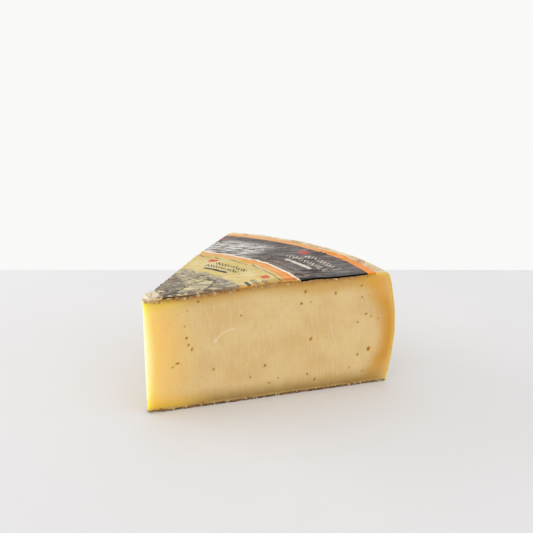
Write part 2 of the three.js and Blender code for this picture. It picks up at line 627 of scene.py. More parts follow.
@dataclass(frozen=True)
class PasteFinish:
    """Cut paste, with its browner zones under the rind, and the rind itself.

    A zone is two distances in millimetres: where its colour begins and where it is full.
    """

    pale: Colour = paint(239, 212, 154)
    deep: Colour = paint(232, 200, 137)
    # Painted light: butter, flame and ember are painted glow of the light that shines through the thin point,
    # and cream is a painted highlight on the point's edge.
    tip_glow_yellow: Colour = paint(252, 216, 122)
    cream: Colour = paint(255, 238, 214)
    flame: Colour = paint(255, 214, 40)
    ember: Colour = paint(255, 198, 38)
    golden: Colour = paint(217, 162, 50)
    honey: Colour = paint(230, 175, 56)
    line: Colour = paint(224, 184, 112)
    olive: Colour = paint(166, 124, 44)
    # crust is partly the rind's own colour and partly painted contact shade.
    crust_and_shade: Colour = paint(92, 50, 18)
    toasted: Colour = paint(206, 132, 46)
    # amber is painted shade: it darkens the eyes and the pinholes.
    amber: Colour = paint(184, 114, 2)
    milk: Colour = paint(246, 226, 188)
    rind: Colour = paint(234, 210, 168)
    rind_dark: Colour = paint(178, 134, 82)
    bloom: Colour = paint(244, 230, 202)
    upper_corner: Zone = (32, 0)
    lower_corner: Zone = (28, 0)
    side_zone: Zone = (16, 3.5)
    foot_zone: Zone = (13, 0.5)
    top_zone: Zone = (10, 0.5)
    line_zone: Zone = (4.5, -1.5)
    rim_zone: Zone = (1.4, 0.4)
    crust_and_shade_zone: Zone = (1.7, 0.8)
    toasted_zone: Zone = (4.6, 0.8)
    glow: tuple[float, float, float] = (1.0, 0.92, 0.3)
    glow_depth: float = 11.0 * MM
    shine: float = 0.45

    def material(self) -> bpy.types.Material:
        """The paste's material, with light that passes a few millimetres into it, and painted glow near the
        point.

        Returns:
            The finished material.
        """
        graph = Graph("cheese_paste")
        place = graph.place()
        side, top, base = graph.attribute("rind_depth")
        skin, pit, seam = graph.attribute("marks")
        drift = graph.minus(graph.noise(place, 9, 3), 0.5)
        crumble = graph.minus(graph.noise(place, 1.3, 3, 0.6), 0.5)
        colour = graph.mix(graph.span(graph.noise(place, 22, 4, 0.55), 0.35, 0.65), self.pale, self.deep)
        speckle = graph.span(graph.noise(place, 1.6, 3, 0.6), 0.52, 0.7, 0, 0.5)
        colour = graph.mix(speckle, colour, self.deep)
        strands = graph.span(graph.noise(graph.place(0, (1, 1, 0.1)), 1.1, 3, 0.6), 0.5, 0.68, 0, 0.3)
        colour = graph.mix(strands, colour, self.milk)
        # Painted glow: the point is tinted yellow and its very edge creamy white, for light that shines
        # through it.
        colour = graph.mix(graph.span(side, 122, 156, 0, 0.8), colour, self.tip_glow_yellow)
        colour = graph.mix(graph.span(side, 154, 161.5, 0, 0.85), colour, self.cream)
        specks = graph.span(graph.cells(place, 3.4), 0.13, 0.07, 0, 0.6)
        specks = graph.times(specks, graph.span(graph.noise(place, 6), 0.5, 0.6))
        colour = graph.mix(specks, colour, self.milk)
        # Painted shade: tiny pinholes are amber dots, with no hollow in the mesh.
        pinhole_shade = graph.span(graph.cells(graph.place(20), 4.3), 0.1, 0.05, 0, 0.5)
        colour = graph.mix(pinhole_shade, colour, self.amber)
        colour = self.under_rind(graph, colour, side, top, base, drift, crumble)
        # Painted shade: the eyes are darkened to amber, for the shade in their hollows.
        colour = graph.mix(graph.times(pit, 0.97), colour, self.amber)
        colour = graph.mix(graph.maths("MULTIPLY", seam, 0.75, clamp=True), colour, self.milk)
        colour = graph.mix(skin, colour, self.rind_colour(graph, place))
        grain = graph.noise(place, 0.9, 3, 0.6)
        pores = graph.span(graph.cells(place, 1.6), 0.1, 0.5)
        coarse = graph.plus(graph.noise(place, 2.6, 4, 0.65), graph.times(pores, 0.35))
        depth = graph.times_plus(skin, graph.minus(coarse, grain), grain)
        dull = graph.span(graph.noise(place, 5, 2), 0.3, 0.7, 0.38, 0.52)
        roughness = graph.plus(dull, graph.times(skin, 0.3))
        scatter = graph.times_plus(skin, -0.5, graph.times_plus(pit, -0.9, 1.0))
        return graph.surface(
            Base_Color=colour,
            Roughness=roughness,
            Normal=graph.bump(depth, 0.35, 0.6),
            Subsurface_Weight=scatter,
            Subsurface_Radius=self.glow,
            Subsurface_Scale=self.glow_depth,
            Specular_IOR_Level=graph.times_plus(pit, -self.shine, self.shine),
        )

    def under_rind(self, graph: Graph, colour: object, side: object, top: object, base: object,
                   drift: object, crumble: object) -> Socket:
        """Adds the zones of colour that follow the rind inwards, the painted glow near the point, and the
        dark line along the lower edge, which is partly painted contact shade.

        Args:
            graph: The material's nodes.
            colour: The paste's colour.
            side: Depth under the side rind, in millimetres.
            top: Depth under the upper face.
            base: Height above the lower face.
            drift: Slow noise about 0 that makes the zones uneven.
            crumble: Fine noise about 0.

        Returns:
            The zoned colour.
        """
        wander = graph.times(drift, 4.0)
        grit = graph.times(crumble, 2.4)
        near_top = graph.span(top, *self.upper_corner)
        near_corner = graph.maths("MAXIMUM", near_top, graph.span(base, *self.lower_corner))
        inward = graph.times_plus(near_corner, -9, graph.plus(side, wander))
        share = graph.times(graph.span(inward, *self.side_zone), graph.span(near_corner, 0.2, 0.8, 1, 0.75))
        colour = graph.mix(share, colour, graph.mix(near_top, self.golden, self.honey))
        above = graph.plus(base, wander)
        # Painted glow: near the point the foot turns from olive to ember.
        foot = graph.mix(graph.span(side, 110, 146), self.olive, self.ember)
        deepness = graph.times(graph.span(above, *self.foot_zone, 0, 0.88), graph.span(side, 8, 26, 0.62, 1))
        colour = graph.mix(deepness, colour, foot)
        below = graph.times_plus(graph.span(side, 75, 45), -3, graph.times_plus(drift, 3.0, top))
        # Under the top the band is golden near the rind and flame yellow near the point, where flame is
        # painted glow.
        top_band_and_glow = graph.mix(graph.span(side, 26, 14), self.golden, self.honey)
        top_band_and_glow = graph.mix(graph.span(side, 126, 144), top_band_and_glow, self.flame)
        colour = graph.mix(graph.span(below, *self.top_zone, 0, 0.75), colour, top_band_and_glow)
        outer = graph.times_plus(near_corner, -5, graph.plus(side, grit))
        colour = graph.mix(graph.span(outer, *self.line_zone, 0, 0.8), colour, self.line)
        rim = graph.times_plus(grit, 0.5, side)
        colour = graph.mix(graph.span(rim, *self.rim_zone, 0, 0.6), colour, self.rind_dark)
        ragged = graph.plus(base, grit)
        lip = graph.times(graph.span(ragged, 1.2, 1.7), graph.span(ragged, 2.8, 2.1, 0, 0.7))
        colour = graph.mix(lip, colour, self.line)
        # Partly painted shade: the dark line along the lower edge is the rind's section and the contact shade
        # where the wedge meets the table.
        colour = graph.mix(graph.span(ragged, *self.crust_and_shade_zone, 0, 0.92), colour, self.crust_and_shade)
        burnt = graph.span(graph.plus(top, grit), *self.toasted_zone)
        burnt = graph.times(burnt, graph.span(side, 14, 24, 0, 0.62))
        burnt = graph.times(burnt, graph.span(side, 158, 138))
        return graph.mix(burnt, colour, self.toasted)

    def rind_colour(self, graph: Graph, place: object) -> Socket:
        """The rind's own colour: tan, with brown patches and freckles and a pale dry bloom.

        Args:
            graph: The material's nodes.
            place: The piece's own coordinate.

        Returns:
            The colour's socket.
        """
        patches = graph.span(graph.noise(graph.place(0, (1, 1, 1.8)), 13, 6, 0.66), 0.4, 0.72)
        colour = graph.mix(patches, self.rind, self.rind_dark)
        freckle = graph.span(graph.cells(place, 2.1), 0.3, 0.12, 0, 0.6)
        colour = graph.mix(freckle, colour, self.rind_dark)
        dust = graph.span(graph.noise(place, 1.5, 4, 0.7), 0.5, 0.68, 0, 0.7)
        return graph.mix(dust, colour, self.bloom)


@dataclass
class CheeseBody:
    """The wedge of paste and rind, as one closed skin.

    The skin is a grid: columns run once round the wedge's outline, and rows run from the middle of the
    base out to its edge, up the sides, and in across the top to its middle.
    """

    wheel: Wheel
    finish: PasteFinish = field(default_factory=PasteFinish)
    fine: float = 0.14 * MM
    coarse: float = 0.68 * MM
    rind_step: float = 0.85 * MM
    tip_steps: int = 14
    middle: float = 92 * MM
    ring_insets: tuple[float, ...] = (0.0025, 0.007, 0.015, 0.027, 0.045, 0.07, 0.105, 0.15, 0.28, 0.5, 0.75)
    ring_walk: float = 0.6
    eye_gather: float = 3.4
    eye_share: float = 0.66
    eye_depth: float = 0.6 * MM
    eye_shade_gain: float = 1.35
    seam_depth: float = 0.14 * MM
    back_eyes: int = 34
    wave: Lumps = Lumps(0.22 * MM, 34 * MM, 1)
    curd: Lumps = Lumps(0.035 * MM, 2.4 * MM, 2, 3)
    swell: Lumps = Lumps(0.35 * MM, 17 * MM, 3)
    grit: Lumps = Lumps(0.13 * MM, 3.6 * MM, 4, 3)
    hollows: Lumps = Lumps(0.5 * MM, 26 * MM, 7)
    crumble: Lumps = Lumps(1.0 * MM, 1.5 * MM, 6, 2)
    crumble_reach: float = 0.8 * MM
    cut_crumble: float = 0.22
    corner_crumble: float = 0.12
    lip_tears: Lumps = Lumps(0.6, 4.2 * MM, 8, 3)
    lower_lip: Lip = Lip(0.5 * MM, 0.6 * MM, 0.5 * MM)
    upper_lip: Lip = Lip(0.25 * MM, 0.9 * MM, 0.6 * MM)
    glue_edge: float = 2 * MM
    inner_depth: float = 20.0
    seed: int = 5
    region: np.ndarray = field(init=False, repr=False)

    def build(self) -> bpy.types.Object:
        """Works out the skin and dresses it.

        Returns:
            The piece.
        """
        plan, self.region = self.outline()
        sides, marks = self.side_rows(plan)
        points, inset = self.with_rings(sides)
        edge = self.edge_distance(points, inset)
        points = self.soften(points, edge)
        points = points + self.normals(points) * self.relief(points, marks, edge)[..., None]
        points[..., 2] = np.maximum(points[..., 2], 0)
        rings = len(self.ring_insets)
        points[-rings:] = self.pressed(points[-rings:])
        faces, joined = self.close(points)
        piece = new_piece("cheese_body", joined, faces)
        self.store(piece, points, marks)
        piece.data.materials.append(self.finish.material())
        return piece

    def pressed(self, top: np.ndarray) -> np.ndarray:
        """The top as the label's glue holds it: within the label's radius nothing stands above the plain top.

        Args:
            top: The top's points.

        Returns:
            The pressed points.
        """
        reach = self.wheel.reach_of(top)
        free = ease(reach, self.wheel.label_radius, self.wheel.label_radius + self.glue_edge)
        proud = np.maximum(top[..., 2] - self.wheel.top(reach), 0)
        held = top.copy()
        held[..., 2] -= proud * (1 - free)
        return held

    def outline(self) -> tuple[np.ndarray, np.ndarray]:
        """Where the grid's columns stand on a lap round the wedge.

        Returns:
            For each column, its share of its own stretch, and which stretch that is.
        """
        cut = graded(self.wheel.widest - self.wheel.touch, self.fine, self.coarse)
        arc = graded(2 * self.wheel.half_angle * self.wheel.widest, self.fine, self.rind_step)[1:-1]
        tip = np.arange(1, self.tip_steps) / self.tip_steps
        stretches = [cut, arc, cut[::-1], tip]
        counts = [len(stretch) for stretch in stretches]
        return np.concatenate(stretches), np.repeat(np.arange(len(Stretch)), counts)

    def side_rows(self, share: np.ndarray) -> tuple[np.ndarray, np.ndarray]:
        """The rows that climb the sides.

        On a cut, a point stands at touch + share * (side radius - touch) from the axis. On the rind it
        stands at the side radius and an angle. At the point it runs round the blunt edge.

        Args:
            share: Each column's share of its stretch.

        Returns:
            The points, and the marks on them: how deep in an eye, and how near a seam.
        """
        wheel = self.wheel
        climb = graded(wheel.height, self.fine, self.coarse)[:, None]
        radius = wheel.side_radius(climb * wheel.height)
        plane = wheel.touch + share[None, :] * (radius - wheel.touch)
        turn = math.pi - 2 * wheel.half_angle
        tip_angle = math.pi - turn / 2 + turn * share[None, :]
        tip_x = wheel.tip_centre + wheel.tip_round * np.cos(tip_angle)
        tip_y = wheel.tip_round * np.sin(tip_angle)
        region = np.broadcast_to(self.region, plane.shape)
        on_rind = region == Stretch.RIND
        at_point = region == Stretch.POINT
        round_point = np.hypot(tip_x, tip_y) + 0 * radius
        reach = np.select([on_rind, at_point], [np.broadcast_to(radius, plane.shape), round_point], plane)
        angle = np.select(
            [region == Stretch.FRONT, on_rind, region == Stretch.BACK],
            [-wheel.half_angle, wheel.half_angle * (2 * share[None, :] - 1), wheel.half_angle],
            np.arctan2(tip_y, tip_x) + 0 * radius,
        )
        foot = wheel.base(reach)
        height = foot + climb * (wheel.top(reach) - foot)
        marks = np.zeros((*reach.shape, 2))
        cuts = ((Stretch.FRONT, FRONT_EYES, FRONT_SEAMS), (Stretch.BACK, self.scattered_eyes(), ()))
        for stretch, eyes, seams in cuts:
            cols = self.region == stretch
            opened = self.open_eyes(reach[:, cols], height[:, cols], eyes, seams)
            reach[:, cols], height[:, cols], marks[:, cols] = opened
        return wheel.at(reach, angle, height), marks

    def scattered_eyes(self) -> list[Eye]:
        """Eyes strewn over the back cut, kept off its edges.

        Returns:
            The eyes.
        """
        draw = np.random.default_rng(self.seed)
        span = self.wheel.widest / MM
        rise = self.wheel.height / MM
        places = draw.uniform((14, 8), (span - 10, rise - 7), (self.back_eyes, 2))
        sizes = draw.uniform(0.55, 1.25, self.back_eyes)
        longer = draw.uniform(1, 1.7, self.back_eyes)
        tilts = draw.uniform(0, 180, self.back_eyes)
        eyes = zip(places, sizes, longer, tilts)
        return [Eye(*place, size, long, tilt) for place, size, long, tilt in eyes]

    def open_eyes(self, reach: np.ndarray, height: np.ndarray, eyes: Sequence[Eye],
                  seams: Sequence[Seam]) -> tuple[np.ndarray, np.ndarray, np.ndarray]:
        """Draws the grid of a cut face together round each eye, so that it is finely cut there, and marks
        the eyes and seams.

        Within eye_gather sizes of an eye's centre, a distance d from it becomes d^2 over that radius. The
        mark of an eye is exp(-(d / size)^4), and that of a seam exp(-(d / width)^2).

        Args:
            reach: Distance of each grid point from the axis.
            height: Height of each grid point.
            eyes: The face's eyes.
            seams: The face's seams.

        Returns:
            The new distances and heights, and the two marks.
        """
        pits = np.zeros_like(reach)
        for eye in eyes:
            span = self.eye_gather * eye.size * MM
            away_s = reach - eye.along * MM
            away_h = height - eye.up * MM
            away = np.hypot(away_s, away_h)
            pull = np.where(away < span, away / span, 1)
            reach = eye.along * MM + away_s * pull
            height = eye.up * MM + away_h * pull
            tilt = math.radians(eye.tilt)
            long_way = (away_s * math.cos(tilt) + away_h * math.sin(tilt)) * pull / eye.longer
            short_way = (away_h * math.cos(tilt) - away_s * math.sin(tilt)) * pull
            spread = np.hypot(long_way, short_way) / (eye.size * self.eye_share * MM)
            pits = np.maximum(pits, eye.size * np.exp(-(spread**4)))
        near = np.zeros_like(reach)
        for seam in seams:
            widths = self.seam_distance(reach, height, seam) / (seam.width * MM)
            near = np.maximum(near, seam.pale * np.exp(-(widths**2)))
        return reach, height, np.stack([pits, near], axis=-1)

    @staticmethod
    def seam_distance(reach: np.ndarray, height: np.ndarray, seam: Seam) -> np.ndarray:
        """How far each grid point lies from a seam's line of straight stretches.

        Args:
            reach: Distance of each grid point from the axis.
            height: Height of each grid point.
            seam: The seam.

        Returns:
            The distances.
        """
        nearest = np.full_like(reach, np.inf)
        knots = np.array(seam.points) * MM
        for start, end in zip(knots[:-1], knots[1:]):
            line = end - start
            from_start = reach - start[0], height - start[1]
            along = np.clip((from_start[0] * line[0] + from_start[1] * line[1]) / (line @ line), 0, 1)
            away = np.hypot(from_start[0] - along * line[0], from_start[1] - along * line[1])
            nearest = np.minimum(nearest, away)
        return nearest

    def with_rings(self, sides: np.ndarray) -> tuple[np.ndarray, np.ndarray]:
        """Adds the rings that close the base and the top, each a smaller copy of the outline about the
        middle of the wedge.

        Args:
            sides: The rows that climb the sides.

        Returns:
            All the rows, and how far each row's ring is drawn in, as a share.
        """
        wheel = self.wheel
        centre = np.array([wheel.axis_x + self.middle, 0])
        insets = np.array(self.ring_insets)[:, None, None]
        rings = []
        for edge, height in ((sides[0], wheel.base), (sides[-1], wheel.top)):
            plan = centre + (edge[None, :, :2] - centre) * (1 - insets)
            reach = wheel.reach_of(plan)
            rings.append(np.concatenate([plan, height(reach)[..., None]], axis=-1))
        rows = np.concatenate([rings[0][::-1], sides, rings[1]])
        inset = np.concatenate([self.ring_insets[::-1], np.zeros(len(sides)), self.ring_insets])
        return rows, inset

    def edge_distance(self, points: np.ndarray, inset: np.ndarray) -> np.ndarray:
        """How far each grid point is, over the skin, from the base's edge, the top's edge and the rind's
        corners.

        Args:
            points: The grid's points.
            inset: How far each row is drawn in, as a share.

        Returns:
            The three distances of each point, on the last axis.
        """
        wheel = self.wheel
        rings = len(self.ring_insets)
        row = np.arange(len(points))[:, None]
        reach = wheel.reach_of(points)
        inward = inset[:, None] * self.middle * self.ring_walk
        from_base = np.where(row < rings, inward, points[..., 2] - wheel.base(reach))
        from_top = np.where(row >= len(points) - rings, inward, wheel.top(reach) - points[..., 2])
        angle = np.arctan2(points[..., 1], points[..., 0] - wheel.axis_x)
        along_rind = reach * (wheel.half_angle - np.abs(angle))
        along_cut = wheel.side_radius(np.clip(points[..., 2], 0, wheel.height)) - reach
        from_corner = np.where(self.region == Stretch.RIND, along_rind, along_cut)
        return np.maximum(np.stack([from_base, from_top, from_corner], axis=-1), 0)

    @staticmethod
    def soften(points: np.ndarray, edge: np.ndarray, width: float = 0.7 * MM, passes: int = 4) -> np.ndarray:
        """Rounds the edges: near one, each point moves to the middle of its four neighbours.

        Args:
            points: The grid's points.
            edge: The three distances from the edges.
            width: How far from an edge the rounding reaches.
            passes: How often it is done.

        Returns:
            The rounded points.
        """
        pull = np.exp(-((edge.min(axis=-1) / width) ** 2))[1:-1, :, None]
        for _ in range(passes):
            beside = np.roll(points, 1, axis=1) + np.roll(points, -1, axis=1)
            middle = (beside[1:-1] + points[:-2] + points[2:]) / 4
            inner = points[1:-1] + pull * (middle - points[1:-1])
            points = np.concatenate([points[:1], inner, points[-1:]])
        return points

    @staticmethod
    def normals(points: np.ndarray) -> np.ndarray:
        """Outward directions: the cross product of the grid's two differences at each point.

        Args:
            points: The grid's points.

        Returns:
            A direction of length 1 for each point.
        """
        across = np.roll(points, -1, axis=1) - np.roll(points, 1, axis=1)
        up = np.gradient(points, axis=0)
        cross = np.cross(across, up)
        return cross / np.maximum(np.linalg.norm(cross, axis=-1, keepdims=True), 1e-12)

    def relief(self, points: np.ndarray, marks: np.ndarray, edge: np.ndarray) -> np.ndarray:
        """How far the skin stands out from the plain shape.

        A cut waves slowly, has curd grain, and sinks at eyes and seams. A rind is lumpy and pitted. Both
        crumble at the cuts' edges, where the noise fades as exp(-distance).

        Args:
            points: The grid's points.
            marks: The marks on the side rows.
            edge: The three distances from the edges.

        Returns:
            The relief of each point.
        """
        rings = len(self.ring_insets)
        is_rind = np.ones(points.shape[:2], bool)
        is_rind[rings:-rings, self.region != Stretch.RIND] = False
        cut = self.wave.heights(points) + self.curd.heights(points)
        cut[rings:-rings] -= marks[..., 0] * self.eye_depth + marks[..., 1] * self.seam_depth
        cut += self.lips(points, edge)
        rind = self.swell.heights(points) + self.grit.heights(points)
        rind[:rings] -= self.hollows.patches(points[:rings], -0.1, 0.5)
        near_edge = np.exp(-np.minimum(edge[..., 0], edge[..., 1]) / self.crumble_reach)
        near_corner = np.exp(-edge[..., 2] / self.crumble_reach)
        on_cut = self.region != Stretch.RIND
        loose = self.cut_crumble * near_edge * on_cut + self.corner_crumble * near_corner
        return np.where(is_rind, rind, cut) + loose * self.crumble.heights(points)

    def lips(self, points: np.ndarray, edge: np.ndarray) -> np.ndarray:
        """The two lips of uneven height where the blade dragged the tough rind out past the paste.

        Args:
            points: The grid's points.
            edge: The three distances from the edges.

        Returns:
            The height of the lips.
        """
        uneven = np.clip(0.45 + self.lip_tears.heights(points * (1, 1, 0)), 0, 1.2)
        return uneven * (self.lower_lip.rise(edge[..., 0]) + self.upper_lip.rise(edge[..., 1]))

    @staticmethod
    def close(points: np.ndarray) -> tuple[list[list[int]], np.ndarray]:
        """Joins the grid's last column to its first and closes each end row with a fan about its middle.

        Args:
            points: The grid's points.

        Returns:
            The faces, and the points with the two middles added.
        """
        rows, columns = points.shape[:2]
        quads = grid_quads(rows, columns, True)
        flat = points.reshape(-1, 3)
        joined = np.vstack([flat, points[0].mean(axis=0), points[-1].mean(axis=0)])
        here = np.arange(columns)
        after = (here + 1) % columns
        top = (rows - 1) * columns
        base_fan = np.stack([after, here, np.full(columns, len(flat))], axis=-1)
        top_fan = np.stack([top + here, top + after, np.full(columns, len(flat) + 1)], axis=-1)
        return quads.tolist() + base_fan.tolist() + top_fan.tolist(), joined

    def store(self, piece: bpy.types.Object, points: np.ndarray, marks: np.ndarray) -> None:
        """Keeps, for the finish, the depths under the rind in millimetres, and which marks a point bears.

        Args:
            piece: The piece.
            points: The grid's points.
            marks: The marks on the side rows.
        """
        wheel = self.wheel
        rings = len(self.ring_insets)
        reach = wheel.reach_of(points)
        side = wheel.side_radius(np.clip(points[..., 2], 0, wheel.height)) - reach
        below = wheel.top(reach) - points[..., 2]
        above = points[..., 2] - wheel.base(reach)
        depth = np.stack([side, below, above], axis=-1).reshape(-1, 3) / MM
        skin = np.ones(points.shape[:2])
        skin[rings:-rings, self.region != Stretch.RIND] = 0
        pit = np.zeros_like(skin)
        seam = np.zeros_like(skin)
        # pit is the eyes' mark, which the paste darkens as painted shade.
        pit[rings:-rings] = np.minimum(marks[..., 0] * self.eye_shade_gain, 1)
        seam[rings:-rings] = marks[..., 1]
        told = np.stack([skin, pit, seam], axis=-1).reshape(-1, 3)
        two_middles = np.zeros((2, 3))
        write_vector(piece, "rind_depth", np.vstack([depth, two_middles + self.inner_depth]))
        write_vector(piece, "marks", np.vstack([told, two_middles + (1, 0, 0)]))


class MarkShape(Enum):
    """What a printed mark is. None of them is a letter."""

    BLOCK = "block"
    STROKES = "strokes"


@dataclass(frozen=True)
class PrintMark:
    """A plain mark of a ring's pattern. Its lengths are in millimetres: where it starts and ends along the
    ring, how far outside the ring its middle line lies, and how high it is."""

    shape: MarkShape
    start: float
    end: float
    outside: float
    height: float
    ink: Colour
    pitch: float = 1.9


@dataclass(frozen=True)
class PrintedRing:
    """A circle of the label round which the same marks are printed again and again."""

    radius: float
    first_angle: float
    period: float
    marks: tuple[PrintMark, ...]


def emblem(scale: float, square: Colour, ink: Colour) -> tuple[PrintMark, ...]:
    """A plain square, two rows of leaning zigzag strokes and a bar.

    Args:
        scale: Size of the marks, where 1 is the dark band's.
        square: The square's ink.
        ink: The ink of the strokes and the bar.

    Returns:
        The marks.
    """
    block, strokes = MarkShape.BLOCK, MarkShape.STROKES
    return (
        PrintMark(block, -0.9 * scale, 6.2 * scale, 12.5 * scale, 7.2 * scale, square),
        PrintMark(strokes, 8.4 * scale, 42.5 * scale, 7.4 * scale, 5.8 * scale, ink, 3.1 * scale),
        PrintMark(strokes, 0.0, 44.2 * scale, -0.3 * scale, 5.6 * scale, ink, 2.9 * scale),
        PrintMark(block, 5.3 * scale, 34.6 * scale, -7.4 * scale, 3.2 * scale, ink),
    )


CREAM = paint(238, 228, 208)
INK = paint(26, 22, 20)
RED = paint(206, 50, 30)
FADED_RED = paint(212, 84, 56)
GOLD = paint(164, 132, 92)
PRINTED_RINGS = (
    PrintedRing(119.6, -1.2, 30, emblem(1.0, RED, CREAM)),
    PrintedRing(102.0, 9.0, 30, (PrintMark(MarkShape.STROKES, 0, 50, 1.6, 2.2, GOLD, 3.6),)),
    PrintedRing(98.6, 8.0, 30, (PrintMark(MarkShape.STROKES, 0, 50, 0, 1.5, GOLD, 3.1),)),
    PrintedRing(70.5, 18.9, 36, emblem(0.72, FADED_RED, INK)),
)


@dataclass(frozen=True)
class LabelFinish:
    """Coated label paper: printed rings, a soft mottled patch at the point and rows of plain marks."""

    yellow: Colour = paint(222, 195, 110)
    yellow_pale: Colour = paint(230, 210, 148)
    stain: Colour = paint(190, 166, 84)
    golden: Colour = paint(222, 164, 40)
    orange: Colour = paint(246, 143, 10)
    orange_sheen: Colour = paint(238, 172, 97)
    white: Colour = paint(244, 236, 222)
    charcoal: Colour = paint(56, 46, 44)
    charcoal_gleam: Colour = paint(132, 116, 108)
    black: Colour = paint(12, 9, 8)
    silver: Colour = paint(222, 218, 212)
    slate: Colour = paint(116, 106, 102)
    ash: Colour = paint(174, 162, 140)
    sage: Colour = paint(194, 176, 132)
    straw: Colour = paint(240, 220, 164)
    tea: Colour = paint(226, 186, 100)
    ring_edge: float = 0.2
    band_start: float = 96.5
    band_end: float = 141.2

    def material(self) -> bpy.types.Material:
        """The label's material.

        Returns:
            The finished material.
        """
        graph = Graph("label_print")
        place = graph.place()
        radius, angle, hang = graph.attribute("label_place")
        creases = graph.noise(graph.place(42, (0.13, 1, 1)), 2.2, 4, 0.6)
        colour = self.rings(graph, place, radius, angle, creases)
        colour = self.patch(graph, colour, radius, angle)
        kept = self.worn(graph, radius, angle)
        for ring in PRINTED_RINGS:
            colour = self.print_ring(graph, colour, ring, radius, angle, kept)
        colour = graph.mix(graph.span(creases, 0.66, 0.8, 0, 0.5), colour, self.white)
        colour = self.front_edge(graph, colour, radius, angle)
        colour = graph.mix(graph.times(hang, 0.97), colour, self.turned_down(graph, radius))
        dull = graph.span(graph.noise(place, 4, 3), 0.3, 0.7, 0.34, 0.52)
        return graph.surface(
            Base_Color=colour,
            Roughness=graph.times_plus(hang, 0.4, dull),
            Normal=graph.bump(creases, 0.6, 0.9),
            Specular_IOR_Level=graph.times_plus(hang, -0.45, 0.5),
        )

    def front_edge(self, graph: Graph, colour: object, radius: object, angle: object) -> Socket:
        """Darkens the print along the front cut: tea brown on the yellow ground, and black on the dark band,
        where the dark paper is deepened to black as painted shade of its turned edge.

        Args:
            graph: The material's nodes.
            colour: The colour so far.
            radius: Distance from the axis, in millimetres.
            angle: Angle from the wedge's middle line, in degrees.

        Returns:
            The colour with the darker edge.
        """
        on_yellow = graph.times(graph.span(angle, -22.5, -26.0, 0, 0.9), graph.span(radius, 96, 95))
        colour = graph.mix(on_yellow, colour, self.tea, "MULTIPLY")
        in_band = graph.times(graph.span(radius, 96.5, 97), graph.span(radius, 141.4, 141))
        # Painted shade: the dark band turns black at its front edge.
        on_band = graph.times(in_band, graph.span(angle, -25.2, -26.0, 0, 0.9))
        return graph.mix(on_band, colour, self.black)

    def turned_down(self, graph: Graph, radius: object) -> Socket:
        """The colour of the paper that hangs over the cuts, which follows the print beside it; on the dark
        band it is black, as painted shade.

        Args:
            graph: The material's nodes.
            radius: Distance from the axis, in millimetres.

        Returns:
            The hanging paper's colour.
        """
        # Painted shade: on the dark band the hanging paper is black.
        colour = graph.mix(graph.span(radius, 97.0, 97.4), self.golden, self.black)
        colour = graph.mix(graph.span(radius, 141.0, 141.4), colour, self.orange)
        colour = graph.mix(graph.span(radius, 60, 52), colour, self.slate)
        colour = graph.mix(graph.span(radius, 34, 28), colour, self.black)
        return graph.mix(graph.span(radius, 13, 11.5), colour, self.straw)

    def rings(self, graph: Graph, place: object, radius: object, angle: object, creases: object) -> Socket:
        """The printed grounds from the point outwards: yellow, two thin orange rings, a white ring, the dark
        band and the orange border. The orange pales towards the back cut, and the dark band along its
        creases, both as painted sheen.

        Args:
            graph: The material's nodes.
            place: The piece's own coordinate.
            radius: Distance from the axis, in millimetres.
            angle: Angle from the wedge's middle line, in degrees.
            creases: Noise that runs along the creases.

        Returns:
            The colour of the grounds.
        """
        wobble = graph.times(graph.minus(graph.noise(place, 7, 2), 0.5), 0.7)
        ring = graph.plus(radius, wobble)
        colour = graph.mix(graph.span(graph.noise(place, 14, 3), 0.4, 0.65), self.yellow, self.yellow_pale)
        stains = graph.span(graph.noise(graph.place(42, (0.3, 1, 1)), 6, 5, 0.65), 0.52, 0.72, 0, 0.75)
        colour = graph.mix(stains, colour, self.stain)
        # Painted sheen: the orange pales towards the back cut, for the light it reflects there.
        border = graph.mix(graph.span(angle, -22, 16, 0, 0.85), self.orange, self.orange_sheen)
        grounds = (
            (85.0, 85.8, self.slate),
            (88.4, 90.8, border),
            (91.6, 94.6, border),
            (95.0, 96.7, self.white),
        )
        for inner, outer, ink in grounds:
            starts = graph.span(ring, inner - self.ring_edge, inner + self.ring_edge)
            ends = graph.span(ring, outer + self.ring_edge, outer - self.ring_edge)
            colour = graph.mix(graph.times(starts, ends), colour, ink)
        # Painted gleam: the dark band is paler along its creases, for the light they catch.
        dark = graph.mix(graph.span(creases, 0.46, 0.66), self.charcoal, self.charcoal_gleam)
        dark = self.sheen_streaks(graph, dark, radius, angle)
        band_soft = 2 * self.ring_edge
        colour = graph.mix(graph.span(ring, self.band_start, self.band_start + band_soft), colour, dark)
        return graph.mix(graph.span(ring, self.band_end, self.band_end + band_soft), colour, border)

